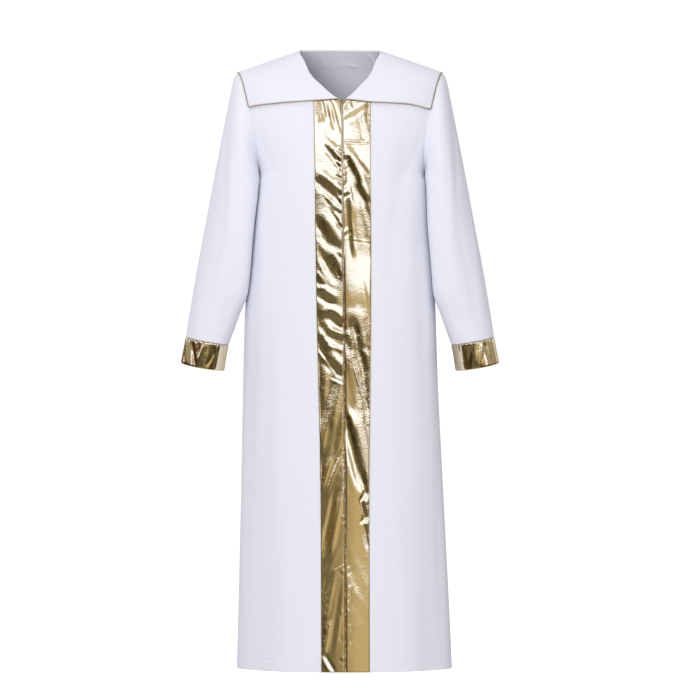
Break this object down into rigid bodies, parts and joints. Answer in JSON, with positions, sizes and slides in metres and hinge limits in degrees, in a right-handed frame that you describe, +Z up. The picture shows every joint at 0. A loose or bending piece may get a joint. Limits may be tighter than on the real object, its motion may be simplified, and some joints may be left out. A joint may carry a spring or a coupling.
{
  "type": "cassock",
  "caption": "Full-length white robe, hollow as if worn, with long set-in sleeves, a piped square cape collar, gold foil bands down the front, gold cuffs and a concealed front zip.",
  "frame": {"origin": "midway between the neck points of the two shoulder seams, where the wearer's shoulders carry the robe", "axes": "+Z up, +X to the wearer's left, the front faces -Y"},
  "size_m": [0.698, 0.3372, 1.3612],
  "materials": {
    "robe_cloth": "matte plain-woven polyester",
    "gold_foil": "crumpled metallic foil knit",
    "gold_cord": "dull gold twisted cord",
    "zip_tape": "woven tape"
  },
  "bodies": {
    "root": {"front_right": "robe_cloth", "front_left": "robe_cloth", "back": "robe_cloth", "collar_front_right": "robe_cloth", "collar_front_left": "robe_cloth", "collar_back": "robe_cloth", "back_neck_facing": "robe_cloth", "sleeve_right": "robe_cloth", "sleeve_left": "robe_cloth", "gold_band_right": "gold_foil", "gold_band_left": "gold_foil", "gold_cuff_right": "gold_foil", "gold_cuff_left": "gold_foil", "collar_piping": "gold_cord", "front_zip": "zip_tape"}
  },
  "joints": []
}
